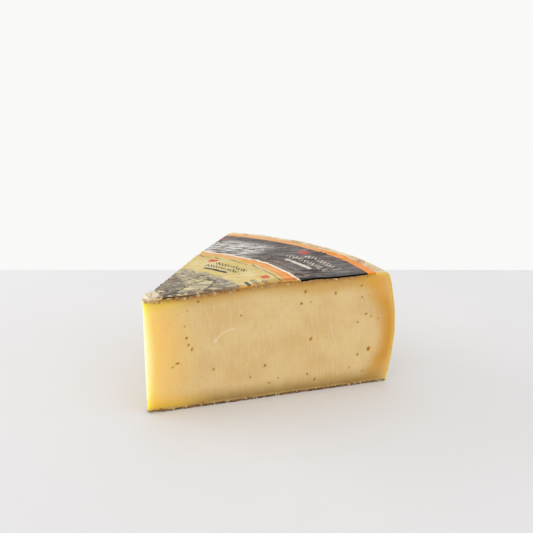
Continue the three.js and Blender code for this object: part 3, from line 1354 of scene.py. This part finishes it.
    def patch(self, graph: Graph, colour: object, radius: object, angle: object) -> Socket:
        """Adds the soft grey mottling that fills the label's middle, and a paler cloud within it.

        Args:
            graph: The material's nodes.
            colour: The colour so far.
            radius: Distance from the axis, in millimetres.
            angle: Angle from the wedge's middle line, in degrees.

        Returns:
            The colour with the patch.
        """
        streaks = graph.noise(graph.place(58, (0.3, 1, 1)), 3.6, 6, 0.75)
        lumps = graph.noise(graph.place(), 4.6, 5, 0.72)
        edge = graph.times_plus(graph.noise(graph.place(), 12, 4, 0.6), 22, radius)
        shade = graph.mix(graph.span(streaks, 0.42, 0.52), self.slate, self.ash)
        shade = graph.mix(graph.span(lumps, 0.5, 0.56, 0, 0.85), shade, self.sage)
        slanted = graph.times_plus(angle, -0.5, radius)
        slanted = graph.times_plus(lumps, 6, slanted)
        shade = graph.mix(graph.span(slanted, 39, 34, 0, 0.8), shade, self.slate)
        scorched = graph.times(graph.span(slanted, 33, 27), graph.span(angle, 2, -12, 0, 0.9))
        shade = graph.mix(graph.span(streaks, 0.55, 0.6), shade, self.straw)
        shade = graph.mix(scorched, shade, self.black)
        shade = graph.mix(graph.span(lumps, 0.455, 0.4, 0, 0.9), shade, self.charcoal)
        colour = graph.mix(graph.span(edge, 72, 67, 0, 0.94), colour, shade)
        outward = graph.minus(radius, 36.5)
        sideways = graph.times_plus(outward, -0.17, graph.times_plus(angle, 0.64, 6.3))
        along = graph.maths("DIVIDE", outward, 13.5)
        across = graph.maths("DIVIDE", sideways, 5.3)
        squares = graph.plus(graph.times(along, along), graph.times(across, across))
        uneven = graph.times_plus(lumps, 0.9, graph.maths("SQRT", squares))
        colour = graph.mix(graph.span(uneven, 1.66, 1.56, 0, 0.85), colour, self.charcoal)
        cloud = graph.mix(graph.span(streaks, 0.44, 0.58), self.ash, self.straw)
        return graph.mix(graph.span(uneven, 1.48, 1.38, 0, 0.95), colour, cloud)

    def sheen_streaks(self, graph: Graph, colour: object, radius: object, angle: object) -> Socket:
        """Adds pale silver streaks to the dark band, on the side of the back cut, as painted sheen.

        Args:
            graph: The material's nodes.
            colour: The band's colour.
            radius: Distance from the axis, in millimetres.
            angle: Angle from the wedge's middle line, in degrees.

        Returns:
            The streaked colour.
        """
        streaks = graph.noise(graph.place(46, (0.22, 1, 1)), 2.4, 5, 0.75)
        where = graph.times(graph.span(radius, 137, 118), graph.span(angle, 5, 13, 0, 0.95))
        # Painted sheen: silver streaks where the dark band catches the light.
        return graph.mix(graph.times(where, graph.span(streaks, 0.45, 0.52)), colour, self.silver)

    def worn(self, graph: Graph, radius: object, angle: object) -> Socket:
        """How much of the printed marks is left: rubbed in streaks, more so on the dark band towards the
        back cut.

        Args:
            graph: The material's nodes.
            radius: Distance from the axis, in millimetres.
            angle: Angle from the wedge's middle line, in degrees.

        Returns:
            The share that is left.
        """
        rubbed = graph.noise(graph.place(52, (0.35, 1, 1)), 2.4, 4, 0.7)
        in_band = graph.span(radius, 96, 98)
        towards_back = graph.times(in_band, graph.span(angle, 4, 12, 0.03, 0.16))
        left = graph.span(graph.plus(rubbed, towards_back), 0.7, 0.54, 0.1, 0.85)
        return graph.times_plus(in_band, graph.minus(left, 1.0), 1.0)

    def print_ring(self, graph: Graph, colour: object, ring: PrintedRing, radius: object, angle: object,
                   kept: object) -> Socket:
        """Prints one ring's marks. The angle is taken modulo the ring's period, so the marks repeat.

        Args:
            graph: The material's nodes.
            colour: The colour so far.
            ring: The ring.
            radius: Distance from the axis, in millimetres.
            angle: Angle from the wedge's middle line, in degrees.
            kept: How much of the marks is left.

        Returns:
            The colour with the marks.
        """
        lead = 2.0
        turned = graph.times_plus(angle, -1, ring.first_angle + lead + ring.period)
        repeated = graph.minus(graph.maths("MODULO", turned, ring.period), lead)
        along = graph.times(repeated, math.radians(ring.radius))
        across = graph.minus(radius, ring.radius)
        for mark in ring.marks:
            printed = graph.times(self.stamp(graph, mark, along, across), kept)
            colour = graph.mix(printed, colour, mark.ink)
        return colour

    def stamp(self, graph: Graph, mark: PrintMark, along: object, across: object) -> Socket:
        """Where one mark is printed: between its two ends and near its middle line, or near its zigzag.

        Args:
            graph: The material's nodes.
            mark: The mark.
            along: Distance along the ring.
            across: Distance outside the ring.

        Returns:
            The mark's mask.
        """
        soft = 0.15
        starts = graph.span(along, mark.start - soft, mark.start + soft)
        within = graph.times(starts, graph.span(along, mark.end + soft, mark.end - soft))
        off = graph.minus(across, mark.outside)
        far = graph.maths("ABSOLUTE", off)
        if mark.shape is MarkShape.BLOCK:
            half = mark.height / 2
            return graph.times(within, graph.span(far, half + soft, half - soft))
        return graph.times(within, self.strokes(graph, mark, along, off))

    def strokes(self, graph: Graph, mark: PrintMark, along: object, off: object) -> Socket:
        """A leaning zigzag, a pitch from peak to peak, whose peaks have their own heights and which is
        left out here and there. The pen is as broad along the ring whatever the slope.

        Args:
            graph: The material's nodes.
            mark: The mark.
            along: Distance along the ring.
            off: Distance outside the mark's middle line.

        Returns:
            The strokes' mask.
        """
        count = graph.maths("DIVIDE", graph.times_plus(off, 0.3, along), mark.pitch)
        own = graph.node("TexWhiteNoise", noise_dimensions="1D")
        graph.put(own.inputs["W"], graph.maths("FLOOR", graph.plus(count, mark.height)))
        chance = own.outputs["Value"]
        rise = graph.span(chance, 0.12, 0.9, 0.25 * mark.height, 0.5 * mark.height)
        sawtooth = graph.maths("FRACT", graph.plus(count, 0.25))
        turned = graph.maths("ABSOLUTE", graph.times_plus(sawtooth, 2, -1))
        zigzag = graph.times_plus(turned, 2, -1)
        away = graph.maths("ABSOLUTE", graph.minus(off, graph.times(zigzag, rise)))
        pen = 0.36 * math.hypot(1.0, 1.1 * mark.height / mark.pitch)
        return graph.times(graph.span(away, pen + 0.25, pen - 0.1), graph.span(chance, 0.1, 0.12))


@dataclass
class LabelSheet:
    """The label's share of the wedge: thin paper that follows the sunken top, is finely creased and turns
    down over the cuts."""

    wheel: Wheel
    finish: LabelFinish = field(default_factory=LabelFinish)
    row_step: float = 0.8 * MM
    columns: int = 168
    paper: float = 0.2 * MM
    lift: float = 0.25 * MM
    crease_turn: float = math.radians(-44)
    crease_stretch: tuple[float, float, float] = (0.16, 1, 0)
    wide_creases: Lumps = Lumps(0.75 * MM, 4.2 * MM, 21)
    fine_creases: Lumps = Lumps(0.3 * MM, 1.9 * MM, 22)
    creased_ground: Lumps = Lumps(1.0, 21 * MM, 23)
    turned_down: tuple[tuple[float, float], ...] = ((0.25, 0.05), (0.5, 0.3), (0.6, 0.9), (0.6, 1.7))
    band_edge: Zone = (96 * MM, 98 * MM)
    short_hang: float = 0.35

    def build(self) -> bpy.types.Object:
        """Works out the sheet as rows outward from the point and columns across, with extra columns at both
        sides for the paper that hangs over the cuts.

        Returns:
            The piece.
        """
        wheel = self.wheel
        start = wheel.tip_centre - wheel.tip_round + 0.05 * MM
        rows = math.ceil((wheel.label_radius - start) / self.row_step)
        reach = np.linspace(start, wheel.label_radius, rows)[:, None]
        across = np.linspace(-1, 1, self.columns)[None, :]
        angle = across * wheel.spread(reach)
        flat = wheel.at(reach, angle, wheel.top(reach) + self.lift)
        flat[..., 2] += self.creases(flat)
        left = self.hanging(flat, reach, -1)
        right = self.hanging(flat, reach, 1)
        points = np.concatenate([left, flat, right], axis=1)
        extra = len(self.turned_down)
        hang = np.zeros(points.shape[:2])
        hang[:, :extra] = 1
        hang[:, -extra:] = 1
        print_angle = np.pad(angle, ((0, 0), (extra, extra)), mode="edge")
        faces = grid_quads(*points.shape[:2], False)[:, ::-1]
        piece = new_piece("label_sheet", points.reshape(-1, 3), faces.tolist())
        told = np.stack([np.broadcast_to(reach / MM, hang.shape), np.degrees(print_angle), hang], axis=-1)
        write_vector(piece, "label_place", told.reshape(-1, 3))
        piece.data.materials.append(self.finish.material())
        thick = piece.modifiers.new("paper", "SOLIDIFY")
        thick.thickness = self.paper
        thick.offset = -1
        return piece

    def creases(self, points: np.ndarray) -> np.ndarray:
        """Fine creases: ridges of a noise that is stretched along the crease direction, in two sizes, under a
        slow noise that leaves some ground smooth.

        Args:
            points: The sheet's points.

        Returns:
            The height of the creases.
        """
        turned = points @ np.array(Matrix.Rotation(self.crease_turn, 3, "Z"))
        long_way = turned * self.crease_stretch
        folds = self.wide_creases.ridges(long_way, 6) + self.fine_creases.ridges(long_way, 5)
        return self.creased_ground.patches(points, -0.7, 0.6) * folds

    def hanging(self, flat: np.ndarray, reach: np.ndarray, side: int) -> np.ndarray:
        """The columns that hang over one cut: outwards and down in a small turn, of a ragged length.

        Args:
            flat: The sheet's points on the top.
            reach: Each row's distance from the axis.
            side: -1 for the front cut and 1 for the back cut.

        Returns:
            The columns, in the order in which they stand in the grid.
        """
        edge = flat[:, 0] if side < 0 else flat[:, -1]
        outward = self.wheel.out_of_cut(side)
        ragged = 0.55 + Lumps(0.45, 2.2 * MM, 31 + side, 2).heights(edge * (1, 1, 0))
        in_band = ease(reach[:, 0], *self.band_edge)
        short = np.clip(ragged, 0.1, 1.0) * self.short_hang
        length = short * (1 - in_band) + (0.5 + 0.2 * ragged) * in_band
        fall = np.array([0, 0, MM]) * length[:, None]
        columns = [edge + outward * out * MM - fall * down for out, down in self.turned_down]
        return np.stack(columns[::-1] if side < 0 else columns, axis=1)


@dataclass(frozen=True)
class CrumbFinish:
    """Dry crumbs of paste and rind."""

    pale: Colour = paint(238, 208, 156)
    brown: Colour = paint(170, 112, 60)

    def material(self) -> bpy.types.Material:
        """The crumbs' material.

        Returns:
            The finished material.
        """
        graph = Graph("cheese_crumb")
        place = graph.place()
        colour = graph.mix(graph.span(graph.noise(place, 3.0, 2), 0.42, 0.58), self.pale, self.brown)
        return graph.surface(
            Base_Color=colour,
            Roughness=graph.span(graph.noise(place, 1, 2), 0.3, 0.7, 0.5, 0.75),
            Normal=graph.bump(graph.noise(place, 0.5, 3), 0.1, 0.5),
            Subsurface_Weight=0.5,
            Subsurface_Radius=(1.0, 0.6, 0.3),
            Subsurface_Scale=1.0 * MM,
        )


@dataclass
class EdgeCrumbs:
    """Crumbs that the knife left along the cuts' upper and lower edges."""

    wheel: Wheel
    finish: CrumbFinish = field(default_factory=CrumbFinish)
    count: int = 1500
    heaps: int = 60
    rings: int = 3
    sides: int = 6
    smallest: float = 0.15 * MM
    largest: float = 0.7 * MM
    flakes: tuple[tuple[float, float], ...] = ((33.6, 0.95), (38.4, 0.75), (58.0, 0.5), (24.5, 0.5))
    heap_spread: float = 3.5 * MM
    upper_fall: float = 2.2 * MM
    lower_rise: float = 1.8 * MM
    band_radius: float = 97 * MM
    below_band: float = 0.9 * MM
    seed: int = 11

    def build(self) -> bpy.types.Object:
        """Works out every crumb at once: a ball of a few rings whose corners are pushed in or out at random.

        Returns:
            The piece.
        """
        draw = np.random.default_rng(self.seed)
        middle = self.places(draw)
        latitude = math.pi * np.arange(1, self.rings + 1) / (self.rings + 1)
        longitude = 2 * math.pi * np.arange(self.sides) / self.sides
        ball = np.stack(
            [
                np.outer(np.sin(latitude), np.cos(longitude)),
                np.outer(np.sin(latitude), np.sin(longitude)),
                np.outer(np.cos(latitude), np.ones(self.sides)),
            ],
            axis=-1,
        ).reshape(-1, 3)
        ball = np.vstack([ball, (0, 0, 1), (0, 0, -1)])
        size = self.smallest + (self.largest - self.smallest) * draw.random((self.count, 1, 1)) ** 2.2
        for number, (along, large) in enumerate(self.flakes):
            reach = np.array(along * MM)
            middle[number] = self.wheel.at(reach, -self.wheel.half_angle, self.wheel.top(reach) + 0.2 * MM)
            size[number] = large * MM
        lumps = draw.uniform(0.65, 1.2, (self.count, len(ball), 1))
        stretch = draw.uniform(0.6, 1.3, (self.count, 1, 3))
        points = middle[:, None] + ball * size * lumps * stretch
        points[..., 2] = np.maximum(points[..., 2], 0)
        top, bottom = self.rings * self.sides, self.rings * self.sides + 1
        here = np.arange(self.sides)
        after = (here + 1) % self.sides
        last = (self.rings - 1) * self.sides
        ball_faces = [face[::-1] for face in grid_quads(self.rings, self.sides, True).tolist()]
        ball_faces += np.stack([here, after, np.full(self.sides, top)], axis=-1).tolist()
        ball_faces += np.stack([last + after, last + here, np.full(self.sides, bottom)], axis=-1).tolist()
        firsts = range(0, self.count * len(ball), len(ball))
        faces = [[corner + first for corner in face] for first in firsts for face in ball_faces]
        piece = new_piece("edge_crumbs", points.reshape(-1, 3), faces)
        piece.data.materials.append(self.finish.material())
        return piece

    def places(self, draw: np.random.Generator) -> np.ndarray:
        """Where the crumbs sit: on either cut, near its upper edge or its lower edge.

        Args:
            draw: The source of chance.

        Returns:
            One place for each crumb.
        """
        wheel = self.wheel
        upper = draw.random(self.count) < 0.5
        side = np.where(draw.random(self.count) < 0.5, -1, 1)
        heaps = draw.uniform(8 * MM, wheel.widest - 10 * MM, self.heaps)
        reach = heaps[draw.integers(0, self.heaps, self.count)] + draw.normal(0, self.heap_spread, self.count)
        reach = np.clip(reach, 6 * MM, wheel.widest - 8 * MM)
        reach = np.where(upper, wheel.touch + (reach - wheel.touch) * draw.uniform(0.4, 1, self.count), reach)
        down = draw.uniform(0.0, 1.0, self.count) ** 2 * self.upper_fall
        down = down + np.where(reach > self.band_radius, self.below_band, 0)
        up = 0.3 * MM + draw.uniform(0.0, 1.0, self.count) ** 1.6 * self.lower_rise
        height = np.where(upper, wheel.top(reach) - down, wheel.base(reach) + up)
        spot = wheel.at(reach, side * wheel.half_angle, height)
        return spot + wheel.out_of_cut(side) * draw.uniform(-0.1 * MM, 0.25 * MM, (self.count, 1))


@dataclass(frozen=True)
class TornFinish:
    """The white core of torn label paper, with dark stained edges, and painted shade in the hollows between
    its folds.
    """

    paper: Colour = paint(246, 234, 206)
    # stain is both a real stain and the painted shade of the fold hollows.
    stain: Colour = paint(186, 132, 78)
    ink: Colour = paint(48, 40, 36)

    def material(self) -> bpy.types.Material:
        """The torn paper's material.

        Returns:
            The finished material.
        """
        graph = Graph("torn_paper")
        place = graph.place()
        rim, hollow, _ = graph.attribute("torn_place")
        blotch = graph.noise(place, 2.6, 3, 0.6)
        colour = graph.mix(graph.span(blotch, 0.54, 0.7, 0, 0.8), self.paper, self.stain)
        # Painted shade: the hollows between the folds take the stain colour.
        colour = graph.mix(graph.span(hollow, 0.35, 0.05, 0, 0.7), colour, self.stain)
        ragged = graph.times_plus(blotch, 0.5, rim)
        colour = graph.mix(graph.span(ragged, 1.18, 1.24), colour, self.ink)
        return graph.surface(
            Base_Color=colour,
            Roughness=graph.span(graph.noise(place, 2, 2), 0.3, 0.7, 0.6, 0.85),
            Normal=graph.bump(graph.noise(place, 0.6, 4, 0.6), 0.15, 0.6),
        )


@dataclass
class TornCorner:
    """The crumpled scrap of torn paper at the wedge's point."""

    wheel: Wheel
    finish: TornFinish = field(default_factory=TornFinish)
    length: float = 12.0 * MM
    rows: int = 56
    columns: int = 48
    lift: float = 0.45 * MM
    tear: Lumps = Lumps(0.3, 3 * MM, 41, 3)
    tear_width: float = 9 * MM
    wide_folds: Lumps = Lumps(1.0, 3.8 * MM, 43)
    fine_folds: Lumps = Lumps(0.3, 1.7 * MM, 44)
    fold_height: float = 2.7 * MM
    overhang: float = 0.8 * MM
    overhang_drop: float = 1.6 * MM
    paper: float = 0.2 * MM

    def build(self) -> bpy.types.Object:
        """Works out the scrap: rows outward from the point and columns across it, heaved up in sharp folds
        that are a power of noise, and hanging over the front cut at one side.

        Returns:
            The piece.
        """
        wheel = self.wheel
        across = np.linspace(-1, 1, self.columns)[None, :]
        out = np.linspace(0, 1, self.rows)[:, None]
        start = wheel.tip_centre - wheel.tip_round + 0.1 * MM
        edge_line = np.stack(np.broadcast_arrays(across * self.tear_width, 0.0, self.tear.cell), axis=-1)
        torn = 1 + self.tear.heights(edge_line)
        reach = start + out * self.length * (torn - 0.3 * across)
        angle = across * wheel.spread(reach)
        points = wheel.at(reach, angle, wheel.top(reach) + self.lift)
        flat = points * (1, 1, 0)
        folds = self.wide_folds.ridges(flat, 3) + self.fine_folds.ridges(flat, 3)
        settled = (0.3 + 0.7 * ease(out, 0, 0.3)) * (1 - 0.75 * ease(out, 0.6, 1))
        settled = settled * (1 - ease(np.abs(across), 0.8, 1))
        points[..., 2] += self.fold_height * folds * settled
        over = ease(-across, 0.72, 1) * (1 - ease(out, 0.1, 0.5))
        hung = wheel.out_of_cut(-1) * self.overhang - np.array([0, 0, self.overhang_drop])
        points += over[..., None] * hung
        faces = grid_quads(self.rows, self.columns, False)[:, ::-1]
        piece = new_piece("torn_corner", points.reshape(-1, 3), faces.tolist())
        rim = np.maximum(0.86 * np.abs(across), out) * np.ones_like(folds)
        # The second number, the folds' height, darkens the hollows as painted shade.
        told = np.stack([rim, folds * settled, np.zeros_like(rim)], axis=-1)
        write_vector(piece, "torn_place", told.reshape(-1, 3))
        piece.data.materials.append(self.finish.material())
        thick = piece.modifiers.new("paper", "SOLIDIFY")
        thick.thickness = self.paper
        thick.offset = 0
        return piece


@dataclass
class Studio:
    """A pale table top in a bright room, one soft window light from the back left, and the camera."""

    wheel: Wheel
    eye: tuple[float, float, float] = (-0.2546, -0.3571, 0.2236)
    turn: float = math.radians(-44.94)
    tip: float = math.radians(16.89)
    lens: float = 54.03
    table_edge: float = 0.725
    table_near: float = 1.6
    table_half_width: float = 1.6
    table: Colour = paint(231, 230, 231)
    room: float = 0.95
    window_watts: float = 23.0
    window_width: float = 1.1
    window_height: float = 0.26
    window_way: tuple[float, float, float] = (-0.46, 0.88, 0.1)
    window_distance: float = 1.8

    def build(self) -> None:
        """Makes the camera, the light, the room and the table top."""
        scene = bpy.context.scene
        scene.view_settings.view_transform = "Standard"
        self.make_camera(scene)
        self.make_window(scene)
        world = bpy.data.worlds.new("bright_room")
        world.use_nodes = True
        background = world.node_tree.nodes["Background"]
        background.inputs["Color"].default_value = (1.0, 0.997, 0.99, 1)
        background.inputs["Strength"].default_value = self.room
        scene.world = world
        self.make_table()

    def make_camera(self, scene: bpy.types.Scene) -> None:
        """Stands the camera where the wedge was seen from, level and looking a little down.

        Args:
            scene: The scene that the camera joins.
        """
        data = bpy.data.cameras.new("camera")
        data.lens = self.lens
        data.clip_start = 0.01
        camera = bpy.data.objects.new("camera", data)
        camera.location = Vector((self.wheel.axis_x, 0, 0)) + Vector(self.eye)
        camera.rotation_euler = (math.pi / 2 - self.tip, 0, self.turn)
        scene.collection.objects.link(camera)
        scene.camera = camera

    def make_window(self, scene: bpy.types.Scene) -> None:
        """Hangs the window light, facing the wedge.

        Args:
            scene: The scene that the light joins.
        """
        data = bpy.data.lights.new("window", "AREA")
        data.energy = self.window_watts
        data.shape = "RECTANGLE"
        data.size = self.window_width
        data.size_y = self.window_height
        light = bpy.data.objects.new("window", data)
        way = Vector(self.window_way).normalized()
        light.location = way * self.window_distance
        light.rotation_mode = "QUATERNION"
        light.rotation_quaternion = way.to_track_quat("Z", "Y")
        light.visible_camera = False
        data.cycles.max_bounces = 0
        scene.collection.objects.link(light)

    def make_table(self) -> bpy.types.Object:
        """Lays the table top, whose far edge lies square to the camera's view.

        Returns:
            The table top.
        """
        right = np.array([math.cos(self.turn), math.sin(self.turn), 0])
        ahead = np.array([-math.sin(self.turn), math.cos(self.turn), 0])
        foot = np.array([self.wheel.axis_x + self.eye[0], self.eye[1], 0])
        near = foot - ahead * (self.table_near - self.table_edge)
        far = foot + ahead * self.table_edge
        across = right * self.table_half_width
        corners = np.array([near - across, near + across, far + across, far - across])
        table = new_piece("table_top", corners, [[0, 1, 2, 3]])
        graph = Graph("pale_stone")
        soft = graph.span(graph.noise(graph.place(), 120, 4), 0.3, 0.7, 0, 0.5)
        paler = tuple(x * 1.04 for x in self.table[:3]) + (1.0,)
        colour = graph.mix(soft, self.table, paler)
        table.data.materials.append(graph.surface(Base_Color=colour, Roughness=0.7, Specular_IOR_Level=0.12))
        return table


def main() -> None:
    """Builds every piece in order, joins each to the frame, and sets the studio."""
    logging.basicConfig(level=logging.INFO, format="%(message)s")
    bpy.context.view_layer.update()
    wheel = Wheel.from_frame()
    Studio(wheel).build()
    body = CheeseBody(wheel).build()
    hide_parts("cheese")
    label = LabelSheet(wheel).build()
    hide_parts("top_label")
    crumbs = EdgeCrumbs(wheel).build()
    corner = TornCorner(wheel).build()
    for piece in (body, label, crumbs, corner):
        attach(piece, ROOT)
        LOG.info("%s: %d points, %d faces", piece.name, len(piece.data.vertices), len(piece.data.polygons))


if __name__ == "__main__":
    main()
